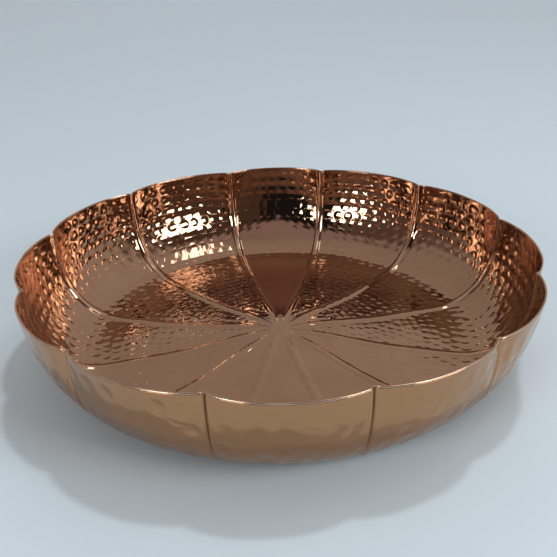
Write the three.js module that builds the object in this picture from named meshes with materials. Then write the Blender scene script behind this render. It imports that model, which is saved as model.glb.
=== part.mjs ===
// A hammered copper tray: one round sheet raised into a deep, flat-standing dish, chased into twelve
// lobes by ribs that run from the rim to the middle of the floor, and stiffened by a round wire that is
// soldered along the top of its scalloped edge.
//
// Millimetres, +Z up. The origin is on the tray's axis, in the plane that it stands on.
// A lobe points along +X, and the ribs lie halfway between the lobes.

import * as THREE from "three";

// Driving dimensions of the whole tray.
const lobeCount = 12;
const trayHeight = 64; // from the surface it stands on to the top of the wire
const rimRadius = 160; // from the axis to the middle of the wire, in a notch
const lobeReach = 5.6; // how much farther out the rim is at the middle of a lobe
const lobeRoundness = 2.6; // 2 is a plain arc, and more makes a rounder lobe with a sharper notch
const sheetThickness = 1;

// The floor: a flat ring to stand on, and a low dome inside it that keeps the middle off the table.
const standRadius = 115;
const domeRadius = 84;
const domeRise = 6;

// The wall is a quarter of a superellipse, from the standing ring up to a vertical lip.
const wallDropPower = 2.67; // a higher power keeps the wall upright for longer
const wallSpreadPower = 2.13; // a higher power makes a rounder turn out of the floor

// The ribs are raised on the inside and show as grooves on the outside.
const ribHeight = 1.2;
const ribWidth = 6;
const discRadius = 12; // the plain disc where the ribs die out
const ribRunIn = 26; // the length over which a rib rises out of the disc
const widestRibShare = 0.6; // of the room between two ribs, where they draw together

// The edge wire and the joint under it.
const wireDiameter = 1.2;
const solderGap = 0.3;

// How finely the surfaces are divided.
const columnsPerLobe = 8;
const domeSteps = 5;
const wallSteps = 9;
const wireSides = 8;
const columnCrowding = 1.7; // columns crowd towards the ribs as this power rises

const lipHeight = trayHeight - wireDiameter - solderGap;
const columnCount = lobeCount * columnsPerLobe;
const halfLobe = Math.PI / lobeCount;

// The angle of a column, measured from the middle of the first lobe. Columns crowd at the ribs.
function columnAngle(column) {
  const step = column % columnCount;
  const lobe = Math.round(step / columnsPerLobe);
  const fromMiddle = (step - lobe * columnsPerLobe) / (columnsPerLobe / 2);
  const fromRib = Math.pow(1 - Math.abs(fromMiddle), columnCrowding);
  return (2 * lobe + Math.sign(fromMiddle) * (1 - fromRib)) * halfLobe;
}

// How far an angle is from the nearest rib, from 0 on the rib to 1 at the middle of a lobe.
function shareFromRib(angle) {
  const turn = angle / halfLobe;
  return 1 - Math.abs(turn - 2 * Math.round(turn / 2));
}

// The lobes swell outwards between the notches. Their swelling fades down the wall, and the floor has none.
function lobeSwell(angle, radius, height) {
  if (radius < standRadius) return 0;
  const fullness = 1 - Math.pow(1 - shareFromRib(angle), lobeRoundness);
  return lobeReach * fullness * Math.pow(height / lipHeight, 2);
}

// How far the sheet is pushed inwards at a rib: a rounded ridge that narrows towards the middle.
function ribPush(angle, radius) {
  const ribShare = Math.min(ribWidth / 2 / (radius * halfLobe), widestRibShare);
  const across = Math.max(0, 1 - Math.pow(shareFromRib(angle) / ribShare, 2));
  return ribHeight * across * THREE.MathUtils.smoothstep(radius, discRadius, discRadius + ribRunIn);
}

// The outer face of the sheet in section, from the axis out to the lip, before the lobes and ribs.
function outerProfile() {
  const points = [];
  for (let step = 0; step < domeSteps; step++) {
    const radius = (domeRadius * step) / domeSteps;
    const height = (domeRise * (1 + Math.cos((Math.PI * radius) / domeRadius))) / 2;
    points.push(new THREE.Vector2(radius, height));
  }
  points.push(new THREE.Vector2(domeRadius, 0));
  const wallTop = rimRadius + sheetThickness / 2;
  for (let step = 0; step <= wallSteps; step++) {
    const turn = (Math.PI / 2) * (step / wallSteps);
    const spread = Math.pow(Math.sin(turn), 2 / wallSpreadPower);
    const drop = Math.pow(Math.cos(turn), 2 / wallDropPower);
    const height = step === wallSteps ? lipHeight : lipHeight * (1 - drop);
    points.push(new THREE.Vector2(standRadius + (wallTop - standRadius) * spread, height));
  }
  return points;
}

// The direction from the outer face to the inner one at each point of a profile.
function inwardNormals(points) {
  return points.map((point, index) => {
    const before = points[Math.max(index - 1, 0)];
    const after = points[Math.min(index + 1, points.length - 1)];
    const along = new THREE.Vector2().subVectors(after, before);
    if (index === 0) along.set(1, 0);
    if (index === points.length - 1) along.set(0, 1);
    return new THREE.Vector2(-along.y, along.x).normalize();
  });
}

// Turns a lathe geometry into a fluted one: place(profileIndex, angle) gives radius and height.
function flute(geometry, profileLength, place) {
  const position = geometry.getAttribute("position");
  for (let index = 0; index < position.count; index++) {
    const angle = columnAngle(Math.floor(index / profileLength));
    const { radius, height } = place(index % profileLength, angle);
    position.setXYZ(index, radius * Math.cos(angle), radius * Math.sin(angle), height);
  }
  geometry.computeVertexNormals();
  return geometry;
}

function makeTrayBowl() {
  const outer = outerProfile();
  const outerNormals = inwardNormals(outer);
  const inner = outer.map((point, index) =>
    point.clone().addScaledVector(outerNormals[index], sheetThickness),
  );
  const profile = [...outer, ...inner.reverse()];
  const normals = [...outerNormals, ...outerNormals.slice().reverse()];
  const lathe = new THREE.LatheGeometry(profile, columnCount);
  return flute(lathe, profile.length, (index, angle) => {
    const point = profile[index];
    const push = ribPush(angle, point.x);
    return {
      radius: point.x + normals[index].x * push + lobeSwell(angle, point.x, point.y),
      height: point.y + normals[index].y * push,
    };
  });
}

function makeRimWire() {
  const wireHeight = trayHeight - wireDiameter / 2;
  const section = [];
  for (let side = 0; side <= wireSides; side++) {
    const turn = (2 * Math.PI * (side % wireSides)) / wireSides - Math.PI / 2;
    const out = (wireDiameter / 2) * Math.cos(turn);
    const up = (wireDiameter / 2) * Math.sin(turn);
    section.push(new THREE.Vector2(rimRadius + out, wireHeight + up));
  }
  const lathe = new THREE.LatheGeometry(section, columnCount);
  return flute(lathe, section.length, (index, angle) => ({
    radius: section[index].x - ribPush(angle, rimRadius) + lobeSwell(angle, rimRadius, lipHeight),
    height: section[index].y,
  }));
}

const hammeredCopper = new THREE.MeshStandardMaterial({
  color: 0xb4734f,
  roughness: 0.28,
  metalness: 1,
});

const polishedCopper = new THREE.MeshStandardMaterial({
  color: 0xc98a62,
  roughness: 0.18,
  metalness: 1,
});

const trayBowl = new THREE.Mesh(makeTrayBowl(), hammeredCopper);
trayBowl.name = "tray_bowl";

const rimWire = new THREE.Mesh(makeRimWire(), polishedCopper);
rimWire.name = "rim_wire";

const group = new THREE.Group();
group.name = "hammered_copper_tray";
group.add(trayBowl, rimWire);

export default group;
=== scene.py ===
# %% [markdown]
# # A hammered copper tray
#
# The tray starts life as one flat disc of copper. It is raised into a deep dish, chased from both
# sides into twelve lobes, and planished all over with a small round hammer. A wire is soldered along
# the edge last, so that the thin lip is stiff and kind to the hands.
#
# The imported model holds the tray's true size. Every piece made here is measured from it.

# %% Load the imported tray
import math
import random
from bisect import bisect_left

import bmesh
import bpy
from mathutils import Matrix, Vector
from mathutils.noise import noise


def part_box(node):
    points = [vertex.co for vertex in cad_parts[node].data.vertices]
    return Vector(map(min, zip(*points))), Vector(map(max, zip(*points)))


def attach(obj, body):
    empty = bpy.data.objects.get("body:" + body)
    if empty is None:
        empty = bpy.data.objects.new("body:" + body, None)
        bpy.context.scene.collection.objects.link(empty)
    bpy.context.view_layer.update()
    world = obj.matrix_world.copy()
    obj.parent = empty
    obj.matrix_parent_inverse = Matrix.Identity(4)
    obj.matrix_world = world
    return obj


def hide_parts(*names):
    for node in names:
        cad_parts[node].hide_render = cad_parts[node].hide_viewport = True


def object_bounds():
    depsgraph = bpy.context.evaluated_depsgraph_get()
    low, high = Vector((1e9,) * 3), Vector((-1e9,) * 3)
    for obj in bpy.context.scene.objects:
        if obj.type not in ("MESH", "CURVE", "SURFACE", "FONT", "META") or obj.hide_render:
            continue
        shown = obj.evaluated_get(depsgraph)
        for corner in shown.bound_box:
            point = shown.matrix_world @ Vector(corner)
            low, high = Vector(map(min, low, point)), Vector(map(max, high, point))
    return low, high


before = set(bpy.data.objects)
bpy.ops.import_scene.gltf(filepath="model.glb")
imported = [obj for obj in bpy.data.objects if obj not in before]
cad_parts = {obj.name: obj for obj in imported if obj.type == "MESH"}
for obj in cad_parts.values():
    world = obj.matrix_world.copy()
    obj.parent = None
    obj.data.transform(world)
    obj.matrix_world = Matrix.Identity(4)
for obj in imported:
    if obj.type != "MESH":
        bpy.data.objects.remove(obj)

MM = 0.001
cad_low, cad_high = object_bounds()
print("the tray is", [round(side / MM, 1) for side in cad_high - cad_low], "mm over all")

# %% [markdown]
# ## The sizes that the pieces share
#
# The wire's box gives its thickness, the radius of the rim in a notch and the height of the lip. The
# other sizes are the design's own: how far the lobes swell, the flat ring that the tray stands on, and
# the low dome inside the ring that keeps the middle off the table.

# %% Sizes, in metres
LOBES = 12
HALF_LOBE = math.pi / LOBES
LOBE_REACH = 5.6 * MM
LOBE_ROUNDNESS = 2.6
SHEET = 1.0 * MM
STAND_RADIUS = 115 * MM
DOME_RADIUS = 84 * MM
DOME_RISE = 6 * MM
WALL_DROP_POWER = 2.67
WALL_SPREAD_POWER = 2.13

wire_low, wire_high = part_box("rim_wire")
WIRE = wire_high.z - wire_low.z
RIM_RADIUS = wire_high.x - WIRE / 2 - LOBE_REACH
SEAM = 0.12 * MM  # how far the lip reaches up into the wire
LIP_HEIGHT = wire_low.z + SEAM
print("rim radius", round(RIM_RADIUS / MM, 1), "mm, wire", round(WIRE / MM, 2), "mm")

# %% [markdown]
# ## The section of the sheet
#
# A raised dish is easiest to think of as a section that is turned round its axis. The outer face is
# the design, and the inner face lies one sheet thickness inside it. Everything that is beaten into the
# sheet later is placed by its distance along this section, because a hammer works along the surface.

# %% The outer face as a dense chain, from the axis to the lip
DOME_STEPS = 100
WALL_STEPS = 300


def outer_face():
    chain = []
    for step in range(DOME_STEPS):
        radius = DOME_RADIUS * step / DOME_STEPS
        height = DOME_RISE * (1 + math.cos(math.pi * radius / DOME_RADIUS)) / 2
        chain.append(Vector((radius, height)))
    chain.append(Vector((DOME_RADIUS, 0)))
    top = RIM_RADIUS + SHEET / 2
    for step in range(WALL_STEPS + 1):
        turn = math.pi / 2 * step / WALL_STEPS
        spread = math.sin(turn) ** (2 / WALL_SPREAD_POWER)
        drop = max(math.cos(turn), 0.0) ** (2 / WALL_DROP_POWER)
        chain.append(Vector((STAND_RADIUS + (top - STAND_RADIUS) * spread, LIP_HEIGHT * (1 - drop))))
    return chain


CHAIN = outer_face()
LENGTHS = [0.0]
for before, after in zip(CHAIN, CHAIN[1:]):
    LENGTHS.append(LENGTHS[-1] + (after - before).length)
REACH = LENGTHS[-1]
print("the section is", round(REACH / MM, 1), "mm long from the axis to the lip")


# %% A point of the section: its radius, its height, and how far the sheet is tilted there
def section(along):
    """Looks the point up in the chain. The tilt is taken over a few links, so that it runs smoothly."""
    after = min(max(bisect_left(LENGTHS, along), 1), len(CHAIN) - 1)
    low, high = CHAIN[after - 1], CHAIN[after]
    share = (along - LENGTHS[after - 1]) / (LENGTHS[after] - LENGTHS[after - 1])
    point = low.lerp(high, share)
    run = CHAIN[min(after + 2, len(CHAIN) - 1)] - CHAIN[max(after - 3, 0)]
    tilt = 0.0 if along <= 0 else math.atan2(run.y, run.x)
    return point.x, point.y, tilt


print("halfway along, the radius and height are", [round(side / MM, 1) for side in section(REACH / 2)[:2]])

# %% [markdown]
# ## One way to place every point
#
# The lobes, the ribs and the small unevenness of handwork are the same for the sheet and for the wire
# that follows its edge. So one set of functions says where the tray's surface goes, and both pieces
# use it. The ribs were laid out one by one: each has its own small lean away from an even twelfth.

# %% Where the ribs run, and how the columns of the mesh crowd towards them
RIB_LEAN = [math.radians(lean) for lean in
            (0.5, 0.8, 1.1, -2.1, -0.9, 0.1, 0.5, 0.0, 0.7, 0.0, -1.2, -0.3)]
CROWDING = 1.35  # at 1 the columns are evenly spaced


def crowded(angle):
    """Moves an evenly spaced column towards its nearest rib."""
    lobe = round(angle / (2 * HALF_LOBE))
    share = angle / HALF_LOBE - 2 * lobe
    moved = 1 - (1 - min(abs(share), 1)) ** CROWDING
    return (2 * lobe + math.copysign(moved, share)) * HALF_LOBE


def leaning(angle):
    """Turns a column by the lean of the two ribs that it lies between."""
    place = (angle / HALF_LOBE - 1) / 2
    rib = math.floor(place)
    share = place - rib
    return angle + (1 - share) * RIB_LEAN[rib % LOBES] + share * RIB_LEAN[(rib + 1) % LOBES]


def from_rib(angle, radius):
    """The distance to the nearest rib, measured along the surface before the ribs lean."""
    place = (angle / HALF_LOBE - 1) / 2
    return radius * 2 * HALF_LOBE * abs(place - round(place))


print("the ribs lean up to", round(math.degrees(max(map(abs, RIB_LEAN))), 1), "degrees")

# %% [markdown]
# ## Lobes, ribs and unevenness
#
# The lobes and ribs could be built as separate strips, but on the tray they are one sheet that is pushed
# out of its plain round shape. So each is a small formula for how far a point moves. Blender's noise
# function gives the same value for the same place every time, so it can stand for the unevenness of
# handwork: slow waves over the whole dish, and a knobbly height along each rib.

# %% The lobes' swelling, the ribs' shape and the unevenness of handwork
RIB_WALL_HEIGHT = 1.2 * MM
RIB_FLOOR_HEIGHT = 0.75 * MM
RIB_WALL_HALF = 2.8 * MM
RIB_FLOOR_HALF = 3.1 * MM
GROOVE_HALF = 1.2 * MM
DISC_RADIUS = 4 * MM
RIB_RUN_IN = 20 * MM
WIDEST_RIB_SHARE = 0.42  # of the room between two ribs, where they draw together
KNOB_SHARE = 0.35  # of a rib's height
KNOBS_PER_METRE = 140
HOLLOW_SHARE = 0.2  # how far the crest dips between its two shoulders, on the wall
WALL_FOOT = STAND_RADIUS  # along the section, which the low dome makes only 0.3 mm longer
TURN = 24 * MM
SLOW_WAVE = 0.45 * MM
SLOW_WAVES_PER_METRE = 9.0
QUICK_WAVE = 0.16 * MM
QUICK_WAVES_PER_METRE = 27.0


def smooth(low, high, value):
    share = min(max((value - low) / (high - low), 0.0), 1.0)
    return share * share * (3 - 2 * share)


def on_wall(along):
    """0 on the floor and 1 on the wall, with a soft change where the sheet turns up."""
    return smooth(WALL_FOOT - TURN, WALL_FOOT + TURN, along)


def lobe_swell(angle, radius, height):
    if radius < STAND_RADIUS:
        return 0.0
    share = from_rib(angle, 1.0) / HALF_LOBE
    return LOBE_REACH * (1 - (1 - share) ** LOBE_ROUNDNESS) * (height / LIP_HEIGHT) ** 2


def rib_half(along):
    """Half the width of a rib on the inside."""
    return RIB_FLOOR_HALF + (RIB_WALL_HALF - RIB_FLOOR_HALF) * on_wall(along)


def rib_push(angle, radius, along, narrow):
    """How far the sheet is pushed inwards at a rib.

    On the floor the rib is a low round swell. On the wall it stands up, with two shoulders and a
    faint hollow between them, as a chasing tool leaves it.
    """
    wall = on_wall(along)
    half = min(rib_half(along) * narrow, max(radius, 1 * MM) * HALF_LOBE * WIDEST_RIB_SHARE)
    share = min(from_rib(angle, radius) / half, 1.0)
    rise = smooth(DISC_RADIUS, DISC_RADIUS + RIB_RUN_IN, radius)
    tall = RIB_FLOOR_HEIGHT + (RIB_WALL_HEIGHT - RIB_FLOOR_HEIGHT) * wall
    rib = round((angle / HALF_LOBE - 1) / 2)
    knobs = 1 + KNOB_SHARE * noise(Vector((along * KNOBS_PER_METRE, rib * 7.3, narrow)))
    hollow = 1 - HOLLOW_SHARE * wall * (1 - smooth(0.0, 0.6, share))
    edge = (1 - share ** (2 + wall)) ** (1.2 + 0.3 * wall)
    return tall * knobs * rise * edge * hollow


def unevenness(point):
    """The slow waviness of a hammered dish. The shift keeps the two noises from lining up."""
    slow = noise(point * SLOW_WAVES_PER_METRE) * SLOW_WAVE
    quick = noise(point * QUICK_WAVES_PER_METRE + Vector((5.0, 2.0, 8.0))) * QUICK_WAVE
    return slow + quick


def placed(radius, angle, height, tilt, push):
    """A point of the tray: pushed along the sheet's inward normal, swollen into its lobe, leaned."""
    out = radius - math.sin(tilt) * push + lobe_swell(angle, radius, height)
    turned = leaning(angle)
    return Vector((out * math.cos(turned), out * math.sin(turned), height + math.cos(tilt) * push))


rib_crest = rib_push(HALF_LOBE, RIM_RADIUS, REACH, 1.0)
print("at the lip a rib stands", round(rib_crest / MM, 2), "mm high")

# %% [markdown]
# ## Hammer marks
#
# The inside is planished with a small domed face. Each blow leaves a shallow round cup, and the smith
# works in rows round the tray, lobe by lobe, stepping half a blow aside at each new row. The outside
# rests on a stake and shows only broad, flat marks. Every mark here is a real hollow in the mesh.
#
# No hand strikes every lobe alike. LOBE_BLOWS gives each lobe's share of the full depth, and one lobe
# is struck only half as hard as the rest.
#
# A point's place among the marks is two numbers: how many marks round from the middle of its lobe, and
# how many rows out. The mesh keeps both, so that the finish can draw the fine edge of the same marks.

# %% Rows of marks on one face of the sheet
ROW_SHARE = 0.84  # a row's width, as a share of the distance between marks
MARK_SHARE = 0.43  # a mark's radius, as a share of the same distance
ROW_SHIFT = 0.8  # how far a whole row may start aside, in marks
MARK_WANDER = 0.5  # how far the marks of a row drift, in marks
LOBE_BLOWS = (1.0, 1.0, 1.0, 0.5, 1.0, 1.1, 1.0, 1.0, 0.9, 0.8, 0.9, 1.1)


class Rows:
    """The rows of hammer marks on one face, from the disc in the middle out to the lip.

    A pitch is the distance between marks, and depths are the shallow and the deep end of their range.
    They deepen between the two distances along the section that deepening gives.
    """

    def __init__(self, seed, floor_pitch, wall_pitch, depths, deepening, uneven, first, last):
        chance = random.Random(seed)
        self.seed = seed
        self.uneven = uneven
        self.depths = depths
        self.deepening = deepening
        self.edges = [first]
        self.counts = []
        while self.edges[-1] < last:
            wall = on_wall(self.edges[-1])
            pitch = floor_pitch + (wall_pitch - floor_pitch) * wall
            depth = pitch * ROW_SHARE * chance.uniform(0.94, 1.06)
            radius = section(self.edges[-1] + depth / 2)[0]
            self.counts.append(max(1, round(2 * HALF_LOBE * radius / pitch)))
            self.edges.append(self.edges[-1] + depth)

    def stations(self, shares):
        """Distances along the section at the same shares of every row."""
        rows = zip(self.edges, self.edges[1:])
        return [low + (high - low) * share for low, high in rows for share in shares]

    def place(self, angle, along):
        """How many marks round from the lobe's middle, and how many rows out."""
        row = min(max(bisect_left(self.edges, along) - 1, 0), len(self.counts) - 1)
        low, high = self.edges[row], self.edges[row + 1]
        rows_out = row + (along - low) / (high - low)
        lobe = round(angle / (2 * HALF_LOBE))
        share = angle / (2 * HALF_LOBE) - lobe
        start = noise(Vector((row * 1.7, lobe % LOBES * 2.9, self.seed)))
        wander = noise(Vector((share * self.counts[row] * 0.7, row * 3.1, lobe * 5.7 + self.seed)))
        return share * self.counts[row] + ROW_SHIFT * start + MARK_WANDER * wander, rows_out

    def mark(self, around, rows_out, along, lobe):
        """The depth of the nearest mark, and the distance from its middle in mark radii."""
        row = min(max(math.floor(rows_out), 0), len(self.counts) - 1)
        shifted = around + 0.5 * (row % 2)
        aside = shifted - round(shifted)
        outward = (rows_out - row - 0.5) * ROW_SHARE
        share = math.hypot(aside, outward) / MARK_SHARE
        shallow, deep = self.depths
        full = shallow + (deep - shallow) * smooth(*self.deepening, along)
        chance = noise(Vector((round(shifted) * 3.3, row * 7.7, lobe * 9.1 + self.seed)))
        return full * LOBE_BLOWS[lobe] * max(0.0, 1 + self.uneven * chance), share


inside_rows = Rows(7, 6.6 * MM, 9.0 * MM, (0.15 * MM, 0.25 * MM), (REACH - 66 * MM, REACH - 34 * MM),
                   0.9, 9 * MM, REACH - 3 * MM)
outside_rows = Rows(11, 11 * MM, 13 * MM, (0.12 * MM, 0.42 * MM), (WALL_FOOT - TURN, WALL_FOOT + TURN),
                    1.8, 20 * MM, REACH - 5 * MM)
print(len(inside_rows.counts), "rows inside with", LOBES * sum(inside_rows.counts), "marks")
print(len(outside_rows.counts), "rows outside with", LOBES * sum(outside_rows.counts), "marks")

# %% [markdown]
# ## Spinning the sheet
#
# The mesh is spun from the section, as a lathe would. The floor needs fewer columns than the wall, so
# it is spun with half as many, the edges of its last ring are halved, and the wall is spun onto that
# ring and merged with it. On the inside the rings of points are set to the rows of marks, so that each
# mark gets the same share of them. Each point carries two notes in its layers, how far along the
# section it lies and on which face, for the next step.

# %% A way to spin one chain of points
FLOOR_COLUMNS = 324
WALL_COLUMNS = 648
OUTSIDE, INSIDE = 0.0, 1.0

sheet = bmesh.new()
along_layer = sheet.verts.layers.float.new("along")
face_layer = sheet.verts.layers.float.new("face")


def spin_chain(stops, columns):
    """Spins one chain of (distance along the section, face) stops once round the axis."""
    chain = []
    for along, face in stops:
        radius, height, tilt = section(along)
        lift = SHEET * face
        vert = sheet.verts.new((radius - math.sin(tilt) * lift, 0, height + math.cos(tilt) * lift))
        vert[along_layer] = along
        vert[face_layer] = face
        chain.append(vert)
    edges = [sheet.edges.new(pair) for pair in zip(chain, chain[1:])]
    bmesh.ops.spin(sheet, geom=chain + edges, cent=(0, 0, 0), axis=(0, 0, 1),
                   angle=2 * math.pi, steps=columns, use_merge=True, use_duplicate=False)


# %% Choose where the rings of points lie
OUTSIDE_STEP = 5.2 * MM
LIP_CORNER = 0.2 * MM
FLOOR_SHARES = (0.08, 0.36, 0.64, 0.92)
WALL_SHARES = (0.06, 0.235, 0.41, 0.59, 0.765, 0.94)

outside_steps = round(REACH / OUTSIDE_STEP)
outside_stations = [REACH * step / outside_steps for step in range(outside_steps)]
outside_stations += [REACH - LIP_CORNER, REACH]
floor_rows = inside_rows.stations(FLOOR_SHARES)
wall_rows = inside_rows.stations(WALL_SHARES)
inside_stations = [0.0, 5 * MM]
inside_stations += [along for along in floor_rows if along < WALL_FOOT]
inside_stations += [along for along in wall_rows if WALL_FOOT < along < REACH - 1.5 * MM]
inside_stations += [REACH - 1 * MM, REACH - LIP_CORNER, REACH]
print(len(inside_stations), "rings inside and", len(outside_stations), "outside")

# %% Spin the floor, then the wall onto it
RING_SPLIT = 96 * MM
wall_chain = []
for face, stations in ((OUTSIDE, outside_stations), (INSIDE, inside_stations)):
    meeting = max(along for along in stations if along < RING_SPLIT)
    spin_chain([(along, face) for along in stations if along <= meeting], FLOOR_COLUMNS)
    outer = [(along, face) for along in stations if along >= meeting]
    wall_chain += reversed(outer) if face else outer
bmesh.ops.remove_doubles(sheet, verts=sheet.verts, dist=0.001 * MM)
rings = [edge for edge in sheet.edges if edge.is_boundary]
bmesh.ops.subdivide_edges(sheet, edges=rings, cuts=1)
spin_chain(wall_chain, WALL_COLUMNS)
bmesh.ops.remove_doubles(sheet, verts=sheet.verts, dist=0.01 * MM)
bmesh.ops.recalc_face_normals(sheet, faces=sheet.faces)
open_edges = sum(1 for edge in sheet.edges if not edge.is_manifold)
triangles = sum(len(polygon.verts) - 2 for polygon in sheet.faces)
print(len(sheet.verts), "points,", triangles, "triangles,", open_edges, "open edges")

# %% [markdown]
# ## Beating the sheet
#
# Now each point is moved: the ribs rise on the inside and sink as narrow grooves on the outside, the
# marks are pressed in, and the whole sheet gets the slow waviness that no hammered dish is free of.
# Its underside stays on or above the table. The layers made here go with the mesh for its finish.

# %% Move every point of the sheet
rib_layer = sheet.verts.layers.float.new("from_rib")
around_layer = sheet.verts.layers.float.new("marks_round")
rows_layer = sheet.verts.layers.float.new("rows_out")
lip_layer = sheet.verts.layers.float.new("to_lip")
inside_layer = sheet.verts.layers.float.new("inside")
blow_layer = sheet.verts.layers.float.new("blow")
NARROW = {OUTSIDE: GROOVE_HALF / RIB_WALL_HALF, INSIDE: 1.0}  # a rib's width on each face
ROWS = {OUTSIDE: outside_rows, INSIDE: inside_rows}
PRESS = {OUTSIDE: 1.0, INSIDE: -1.0}  # both faces are struck towards the middle of the sheet
LIP_CLEAR = 4 * MM
WAVE_RUN_IN = 15 * MM


def clear_of_edges(aside, along):
    """1 in the open, and 0 on a rib or at the lip, where the hammer doesn't strike."""
    half = rib_half(along)
    return smooth(0.8 * half, 1.5 * half, aside) * smooth(0.0, LIP_CLEAR, REACH - along)


for vert in sheet.verts:
    face = vert[face_layer]
    along = vert[along_layer]
    angle = crowded(math.atan2(vert.co.y, vert.co.x))
    around, rows_out = ROWS[face].place(angle, along)
    full, share = ROWS[face].mark(around, rows_out, along, round(angle / (2 * HALF_LOBE)) % LOBES)
    radius, height, tilt = section(along)
    aside = from_rib(angle, radius)
    blow = full * clear_of_edges(aside, along)
    depth = blow * max(0.0, 1 - share ** 2)
    push = SHEET * face + rib_push(angle, radius, along, NARROW[face]) + PRESS[face] * depth
    resting = placed(radius, angle, height, tilt, push)
    wave = unevenness(resting) * smooth(0.0, WAVE_RUN_IN, along)
    vert.co = placed(radius, angle, height, tilt, push + wave)
    vert.co.z = max(vert.co.z, 0.0)
    vert[rib_layer] = aside / MM
    vert[around_layer] = around
    vert[rows_layer] = rows_out
    vert[lip_layer] = (REACH - along) / MM
    vert[inside_layer] = face
    vert[blow_layer] = blow / MM


# %% Turn a finished bmesh into a piece
def finished(bm, name):
    for polygon in bm.faces:
        polygon.smooth = True
    mesh = bpy.data.meshes.new(name)
    bm.to_mesh(mesh)
    bm.free()
    piece = bpy.data.objects.new(name, mesh)
    bpy.context.scene.collection.objects.link(piece)
    return piece


tray_sheet = finished(sheet, "tray_sheet")
print("tray_sheet is", [round(side / MM, 1) for side in tray_sheet.dimensions], "mm")

# %% [markdown]
# ## The wire along the edge
#
# The wire could be a curve with a round bevel. Here it is a small circle spun round the axis, because a
# mesh can be moved point by point, by the very same functions as the sheet. So it follows every lobe
# and notch below it.

# %% Spin the wire and lay it along the lip
WIRE_SIDES = 12
WIRE_NARROW = 0.7  # the wire turns a tighter corner at a rib than the sheet does
UPRIGHT = math.pi / 2
wire = bmesh.new()
ring = bmesh.ops.create_circle(wire, cap_ends=False, segments=WIRE_SIDES, radius=WIRE / 2)["verts"]
bmesh.ops.rotate(wire, verts=ring, cent=(0, 0, 0), matrix=Matrix.Rotation(math.pi / 2, 3, "X"))
wire_height = cad_high.z - WIRE / 2
bmesh.ops.translate(wire, verts=ring, vec=(RIM_RADIUS, 0, wire_height))
bmesh.ops.spin(wire, geom=wire.verts[:] + wire.edges[:], cent=(0, 0, 0), axis=(0, 0, 1),
               angle=2 * math.pi, steps=WALL_COLUMNS, use_merge=True, use_duplicate=False)
bmesh.ops.remove_doubles(wire, verts=wire.verts, dist=0.001 * MM)
bmesh.ops.recalc_face_normals(wire, faces=wire.faces)
wire_rib_layer = wire.verts.layers.float.new("from_rib")
for vert in wire.verts:
    angle = crowded(math.atan2(vert.co.y, vert.co.x))
    out = math.hypot(vert.co.x, vert.co.y) - RIM_RADIUS
    push = rib_push(angle, RIM_RADIUS, REACH, WIRE_NARROW)
    lip = placed(RIM_RADIUS, angle, LIP_HEIGHT, UPRIGHT, push)
    wave = unevenness(lip)
    middle = placed(RIM_RADIUS, angle, LIP_HEIGHT, UPRIGHT, push + wave - out)
    vert.co = Vector((middle.x, middle.y, vert.co.z))
    vert[wire_rib_layer] = from_rib(angle, RIM_RADIUS) / MM
edge_wire = finished(wire, "edge_wire")
print("edge_wire is", [round(side / MM, 1) for side in edge_wire.dimensions], "mm")

# %% [markdown]
# ## Shader maths
#
# A finish is a sum of small facts about the surface. Wiring each one up by hand hides the idea behind
# the nodes, so this small class lets them be written as plain expressions: an operator between two
# terms adds the Math node that does it. Colours can't go through Math nodes, which would turn them
# grey, so they are mixed by a method of their own.

# %% A term of a shader
class Term:
    """One output socket, with arithmetic."""

    def __init__(self, shade, socket):
        self.shade = shade
        self.socket = socket

    def __add__(self, other):
        return self.shade.maths("ADD", self, other)

    def __radd__(self, other):
        return self.shade.maths("ADD", other, self)

    def __sub__(self, other):
        return self.shade.maths("SUBTRACT", self, other)

    def __rsub__(self, other):
        return self.shade.maths("SUBTRACT", other, self)

    def __mul__(self, other):
        return self.shade.maths("MULTIPLY", self, other)

    def __rmul__(self, other):
        return self.shade.maths("MULTIPLY", other, self)

    def __truediv__(self, other):
        return self.shade.maths("DIVIDE", self, other)

    def __rtruediv__(self, other):
        return self.shade.maths("DIVIDE", other, self)

    def between(self, low, high, start=0.0, end=1.0):
        """Runs smoothly from start to end as the term goes from low to high."""
        settings = {"interpolation_type": "SMOOTHSTEP", "clamp": True}
        inputs = {"Value": self, "From Min": low, "From Max": high, "To Min": start, "To Max": end}
        return self.shade.add("MapRange", settings, inputs)


# %% A node tree, and one way to add any node to it
GENERATED, OBJECT = 0, 3  # outputs of the Texture Coordinate node
FACTOR = 2  # the number that an Attribute node gives
MIXED_COLOUR = 2  # the colour that a Mix node gives


class Shade:
    """A node tree, emptied first."""

    def __init__(self, tree):
        self.tree = tree
        tree.nodes.clear()

    def add(self, kind, settings=None, inputs=None, output=0):
        node = self.tree.nodes.new("ShaderNode" + kind)
        for name, value in (settings or {}).items():
            setattr(node, name, value)
        for key, value in (inputs or {}).items():
            socket = node.inputs[key]
            if isinstance(value, Term):
                self.tree.links.new(value.socket, socket)
            else:
                socket.default_value = value
        return None if output is None else Term(self, node.outputs[output])

    def maths(self, operation, left, right):
        return self.add("Math", {"operation": operation}, {0: left, 1: right})

    def mix(self, share, first, second):
        """A colour between two colours. Sockets 0, 6 and 7 are the colour mix's factor, A and B."""
        settings = {"data_type": "RGBA"}
        return self.add("Mix", settings, {0: share, 6: first, 7: second}, output=MIXED_COLOUR)

    def note(self, name):
        """A number that the mesh carries at each point."""
        return self.add("Attribute", {"attribute_name": name}, output=FACTOR)

    def grain(self, place, scale, detail=2.0, roughness=0.5):
        """Noise, with its scale in waves per metre."""
        inputs = {"Vector": place, "Scale": scale, "Detail": detail, "Roughness": roughness}
        return self.add("TexNoise", {}, inputs)

    def metal(self, colour, roughness, normal):
        inputs = {"Base Color": colour, "Metallic": 1.0, "Roughness": roughness, "Normal": normal}
        self.add("OutputMaterial", {}, {"Surface": self.add("BsdfPrincipled", {}, inputs)}, output=None)


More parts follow.
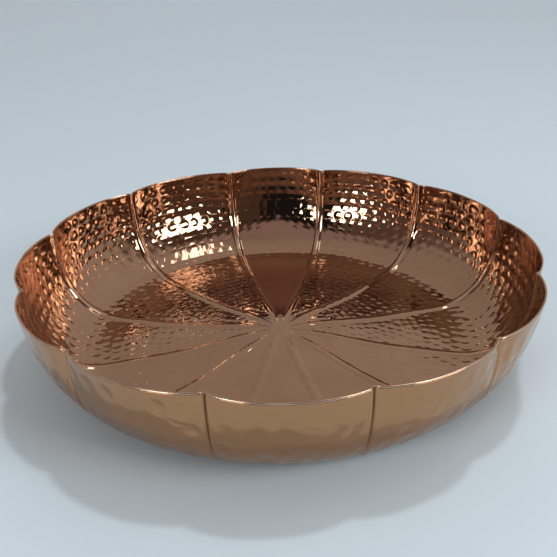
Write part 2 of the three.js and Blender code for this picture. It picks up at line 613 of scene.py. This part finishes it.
def new_finish(name):
    """A new material, and the shade that its nodes are added to."""
    material = bpy.data.materials.new(name)
    material.use_nodes = True
    return material, Shade(material.node_tree)


# %% [markdown]
# ## The finish of the sheet
#
# Polished copper is a mirror with a colour of its own. What makes it look real is that the mirror is
# never perfect. Heat and fingers leave warmer and paler clouds. A dark line of painted shade runs along
# the crease at the base of each rib, and a painted highlight runs along its shoulders, where buffing
# also rubs the copper bright. Outside, the low band is painted browner, as painted shade for the shaded
# floor that it mirrors, and the grooves are darker.
#
# The mesh gives each hammer mark a real hollow, but one that is only a few points wide. The Bump node
# adds what lies between those points: the same cup, rounder, with a fine crest of raised metal at its
# edge. A mesh fine enough to hold both would need about four times the points.

# %% The colours of copper
COPPER = (0.455, 0.287, 0.202, 1.0)
COPPER_PALE = (0.49, 0.312, 0.222, 1.0)
COPPER_WARM = (0.42, 0.245, 0.157, 1.0)
COPPER_GOLD = (0.48, 0.255, 0.13, 1.0)
# Painted shade: the browner low band of the outside.
COPPER_SHADED_BROWN = (0.41, 0.205, 0.105, 1.0)
# The wire's own colour, and a painted highlight on the rib shoulders.
COPPER_BRIGHT = (0.76, 0.56, 0.44, 1.0)
COPPER_DARK = (0.08, 0.035, 0.022, 1.0)


# %% Where a point lies in its hammer mark
def mark_share(shade):
    """The distance from the middle of the nearest hammer mark, in mark radii."""
    around = shade.note("marks_round")
    rows_out = shade.note("rows_out")
    row = shade.maths("FLOOR", rows_out, 0.0)
    shifted = around + shade.maths("FLOORED_MODULO", row, 2.0) * 0.5
    aside = shifted - shade.maths("ROUND", shifted, 0.0)
    outward = (rows_out - row - 0.5) * ROW_SHARE
    return shade.maths("SQRT", aside * aside + outward * outward, 0.0) / MARK_SHARE


# %% Hammered copper. Distances to the lip and to a rib are in mm
# Where the low outside band of painted shade begins, in mm from the lip.
LOW_BAND_ENDS = (36.0, 42.0)
WALL_ENDS = (62.0, 90.0)
UPPER_WALL = (30.0, 62.0)
# How strongly the ribs' painted shade and painted highlight show on the floor.
FLOOR_RIB_TONE = 0.15
SMOOTHEST = 0.045
CREST_HEIGHT = 0.1
PEEL_HEIGHT = 0.006


def hammered_copper():
    material, shade = new_finish("hammered_copper")
    place = shade.add("TexCoord", output=OBJECT)
    clouds = shade.grain(place, 16.0, 3.0).between(0.35, 0.7)
    patches = shade.grain(place, 45.0, 3.0, 0.6).between(0.45, 0.75)
    peel = shade.grain(place, 700.0, 2.0)
    inside = shade.note("inside")
    aside = shade.note("from_rib")
    to_lip = shade.note("to_lip")
    share = mark_share(shade)
    outside = 1 - inside
    # Full on the wall and faint on the floor: how strongly the ribs' painted shade and painted highlight
    # show.
    rib_tone = FLOOR_RIB_TONE + to_lip.between(*WALL_ENDS, 1.0, 0.0) * (1 - FLOOR_RIB_TONE)

    # The clouds come first, then the outside's gold and its low band of painted shade, and then the darker
    # grooves, the painted shade at the base of the ribs and the painted highlight on their shoulders.
    colour = shade.mix(clouds, COPPER, COPPER_PALE)
    colour = shade.mix(patches * 0.35, colour, COPPER_WARM)
    # The low band of the outside is painted browner: painted shade for the shaded floor close to the tray
    # that it mirrors.
    ragged = to_lip + shade.grain(place, 60.0, 2.0) * 16.0
    low_band_shade = ragged.between(*LOW_BAND_ENDS) * outside
    colour = shade.mix(outside, colour, COPPER_GOLD)
    colour = shade.mix(low_band_shade * 0.7, colour, COPPER_SHADED_BROWN)
    # The outside grooves are darker, most near the lip.
    groove = aside.between(0.1, 0.9, 1.0, 0.0) * to_lip.between(8.0, 45.0, 0.75, 0.35) * outside
    # A dark line of painted shade in the crease at the base of each rib, broken up by noise.
    foot_shade = aside.between(1.8, 2.8) * aside.between(2.8, 3.8, 1.0, 0.0) * inside
    foot_shade = foot_shade * shade.grain(place, 110.0, 2.0).between(0.45, 0.62) * rib_tone
    # A painted highlight along each rib's shoulders, where buffing also rubs the copper bright.
    rubbed_highlight = aside.between(0.3, 0.8) * aside.between(0.9, 1.6, 1.0, 0.0) * inside * rib_tone
    colour = shade.mix(rubbed_highlight * 0.8, colour, COPPER_BRIGHT)
    colour = shade.mix(groove + foot_shade * 0.35, colour, COPPER_DARK)

    # The outside is polished less than the inside, and the grooves, the rib bases, the low band and the
    # rubbed shoulders are rougher.
    roughness = SMOOTHEST + outside * 0.045 + clouds * 0.03 + patches * 0.03
    roughness = roughness + groove * 0.2 + foot_shade * 0.08 + low_band_shade * 0.06 + rubbed_highlight * 0.16

    # The relief is in mm: each cup again, deeper up the wall, the crest round it, and a fine peel.
    blow = shade.note("blow")
    fullness = to_lip.between(*UPPER_WALL, 0.5, 0.25) * inside + outside * 0.6
    cup = shade.maths("MAXIMUM", 1 - share * share, 0.0) * blow * fullness
    crest = share.between(0.80, 0.98) * share.between(0.98, 1.14, 1.0, 0.0) * blow * inside
    relief = crest * CREST_HEIGHT - cup + peel * PEEL_HEIGHT
    normal = shade.add("Bump", {}, {"Strength": 1.0, "Distance": 1 * MM, "Height": relief})
    shade.metal(colour, roughness, normal)
    return material


# %% [markdown]
# ## The finish of the wire
#
# The wire isn't hammered. Hands and cloths keep it bright, so it gets the palest copper, a little grain
# and some nicks. It is darker where it bends sharply into a notch, which the mesh's own distance to
# the nearest rib can tell.

# %% Polished wire
def polished_wire():
    material, shade = new_finish("wire_copper")
    place = shade.add("TexCoord", output=OBJECT)
    clouds = shade.grain(place, 60.0, 3.0).between(0.35, 0.7)
    at_notch = shade.note("from_rib").between(0.4, 1.6, 1.0, 0.0)
    colour = shade.mix(clouds, COPPER_BRIGHT, COPPER_PALE)
    colour = shade.mix(at_notch * 0.3, colour, COPPER_DARK)
    nicks = shade.grain(place, 500.0, 2.0)
    normal = shade.add("Bump", {}, {"Strength": 0.3, "Distance": 0.08 * MM, "Height": nicks})
    shade.metal(colour, 0.14 + clouds * 0.08, normal)
    return material


tray_sheet.data.materials.append(hammered_copper())
edge_wire.data.materials.append(polished_wire())
for material in (tray_sheet.data.materials[0], edge_wire.data.materials[0]):
    print(material.name, "has", len(material.node_tree.nodes), "nodes")

# %% [markdown]
# ## Putting the pieces in the model
#
# Each new piece rides on the tray's one body and stands for its solid in the imported model, which is
# hidden. Its finish was given above.

# %% Ride and replace
PIECES = ((tray_sheet, "tray_bowl", "hammered_copper"), (edge_wire, "rim_wire", "wire_copper"))
for piece, node, slot in PIECES:
    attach(piece, "root")
    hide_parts(node)
    print(piece.name, "stands for", node, "and has the finish", slot)

# %% [markdown]
# ## The studio
#
# Polished metal shows its surroundings more than itself, so they are most of its look. Here the tray
# mirrors a pale room behind and above it, a dim room on the viewer's side with the viewer's own dark
# shape in it, two windows and a lamp overhead. A picture of a room would serve as well, but a few
# zones with soft edges are easier to steer: each one can be found again in the copper.
#
# The key light and the back fill are for the floor alone. They are hidden from mirrors, so they set
# the shadow's edge and the floor's brightness without leaving a white spot in the copper.
#
# The view transform is Standard. The usual one greys bright and strong colours, as film does, and
# would take the warmth out of the copper.

# %% The floor
FLOOR_HALF = 6.0
FLOOR_COLOUR = (0.63, 0.76, 0.88, 1.0)

floor_mesh = bmesh.new()
bmesh.ops.create_grid(floor_mesh, x_segments=1, y_segments=1, size=FLOOR_HALF)
floor = finished(floor_mesh, "studio_floor")
floor_paint, shade = new_finish("pale_floor")
paint = shade.add("BsdfPrincipled", {}, {"Base Color": FLOOR_COLOUR, "Roughness": 0.7})
shade.add("OutputMaterial", {}, {"Surface": paint}, output=None)
floor.data.materials.append(floor_paint)
print("the floor is", [round(side, 1) for side in floor.dimensions], "m")

# %% The surroundings. Directions run from -1 to 1 across, forward and upward
BACK_LEFT = (0.40, 0.365, 0.325, 1)
BACK_RIGHT = (0.52, 0.47, 0.425, 1)
CEILING = (0.395, 0.32, 0.315, 1)
LEFT_ROOM = (0.15, 0.105, 0.095, 1)
RIGHT_ROOM = (0.10, 0.065, 0.05, 1)
SIDE_WALL = (0.19, 0.14, 0.125, 1)
VIEWER = (0.016, 0.017, 0.020, 1)
VIEWER_LOW = 0.12
VIEWER_SIDE = 0.14
VIEWER_HALF = 0.29
SOFT_EDGE = 0.04

world = bpy.data.worlds.new("studio")
bpy.context.scene.world = world
world.use_nodes = True
shade = Shade(world.node_tree)
direction = shade.add("TexCoord", output=GENERATED)
across, forward, upward = (shade.add("SeparateXYZ", {}, {"Vector": direction}, output=k) for k in range(3))
room = shade.mix(across.between(-0.50, 0.15), LEFT_ROOM, RIGHT_ROOM)
from_viewer = shade.maths("ABSOLUTE", across + VIEWER_SIDE, 0.0)
viewer = from_viewer.between(VIEWER_HALF - SOFT_EDGE, VIEWER_HALF + SOFT_EDGE, 1.0, 0.0)
viewer = viewer * upward.between(VIEWER_LOW - SOFT_EDGE, VIEWER_LOW + SOFT_EDGE)
room = shade.mix(viewer, room, VIEWER)
beside = shade.maths("ABSOLUTE", across, 0.0)
room = shade.mix((upward - beside * 0.5).between(0.56, 0.70), room, CEILING)
walls = shade.mix(across.between(-0.80, 0.80), BACK_LEFT, BACK_RIGHT)
walls = shade.mix(across.between(-0.97, -0.82), SIDE_WALL, walls)
around = shade.mix(forward.between(-0.30, 0.12), room, walls)
glow = shade.add("Background", {}, {"Color": around, "Strength": 1.0})
shade.add("OutputWorld", {}, {"Surface": glow}, output=None)
print("the surroundings have", len(world.node_tree.nodes), "nodes")

# %% Two kinds of lamp
def direction_to(azimuth, elevation):
    """Azimuth is turned from +X towards +Y, in degrees."""
    a, e = math.radians(azimuth), math.radians(elevation)
    return Vector((math.cos(a) * math.cos(e), math.sin(a) * math.cos(e), math.sin(e)))


def hung(name, light, away, distance):
    """A lamp that hangs in the direction away from the tray, and faces it."""
    lamp = bpy.data.objects.new(name, light)
    lamp.location = away * distance
    lamp.rotation_mode = "QUATERNION"
    lamp.rotation_quaternion = away.to_track_quat("Z", "Y")
    bpy.context.scene.collection.objects.link(lamp)
    return lamp


def softbox(name, azimuth, elevation, distance, width, height, radiance, colour):
    """A flat lamp. Its power follows from how bright its face is."""
    light = bpy.data.lights.new(name, "AREA")
    light.shape = "RECTANGLE"
    light.size = width
    light.size_y = height
    light.energy = radiance * math.pi * width * height
    light.color = colour
    return hung(name, light, direction_to(azimuth, elevation), distance)


# %% Hang the lamps
DAYLIGHT = (0.96, 0.98, 0.94)
LAMPLIGHT = (1.0, 0.98, 0.92)
KEY_COLOUR = (0.97, 0.99, 1.0)
FILL_COLOUR = (0.96, 0.99, 1.0)

lamps = [softbox("left_window", -127, 26, 1.6, 0.56, 0.44, 9.0, DAYLIGHT),
         softbox("right_window", -34, 30, 1.6, 0.80, 0.44, 9.0, DAYLIGHT),
         softbox("overhead", 22, 70, 1.6, 0.70, 0.20, 3.8, LAMPLIGHT)]

sun = bpy.data.lights.new("key", "SUN")
sun.angle = math.radians(4)
sun.energy = 0.6
sun.color = KEY_COLOUR
for lamp in (softbox("back_fill", 90, 40, 3.0, 2.0, 1.0, 1.3, FILL_COLOUR),
             hung("key", sun, direction_to(54, 70), 0.0)):
    lamp.visible_glossy = False
    lamps.append(lamp)
print("lamps:", [lamp.name for lamp in lamps])
bpy.context.scene.view_settings.view_transform = "Standard"

# %% [markdown]
# ## The camera
#
# The camera looks down at the tray from close by and quite low, as someone who sits at the table does,
# and it is held a little crooked. It could be aimed with a Track To constraint, but three directions of
# its own are exact: back towards the camera, right and up. Together they are its rotation.

# %% Place the camera
VIEW_AZIMUTH = math.radians(-0.86)
VIEW_ELEVATION = math.radians(26.70)
VIEW_ROLL = math.radians(-1.42)
AIM_FORWARD = 0.237 * RIM_RADIUS
AIM_ASIDE = -0.0035 * RIM_RADIUS
DISTANCE = 3.002 * RIM_RADIUS
LENS = 51.7
SENSOR_WIDTH = 36

turn = Matrix.Rotation(VIEW_AZIMUTH, 3, "Z")
aim = turn @ Vector((AIM_ASIDE, -AIM_FORWARD, 0)) + Vector((0, 0, wire_height))
back = turn @ Vector((0, -math.cos(VIEW_ELEVATION), math.sin(VIEW_ELEVATION)))
level = turn @ Vector((1, 0, 0))
upright = back.cross(level)
right = math.cos(VIEW_ROLL) * level + math.sin(VIEW_ROLL) * upright
up = back.cross(right)
camera_data = bpy.data.cameras.new("camera")
camera_data.sensor_width = SENSOR_WIDTH
camera_data.lens = LENS
camera = bpy.data.objects.new("camera", camera_data)
camera.matrix_world = Matrix((right, up, back)).transposed().to_4x4()
camera.location = aim + back * DISTANCE
bpy.context.scene.collection.objects.link(camera)
bpy.context.scene.camera = camera
print("the camera is", round(DISTANCE, 2), "m from the tray")
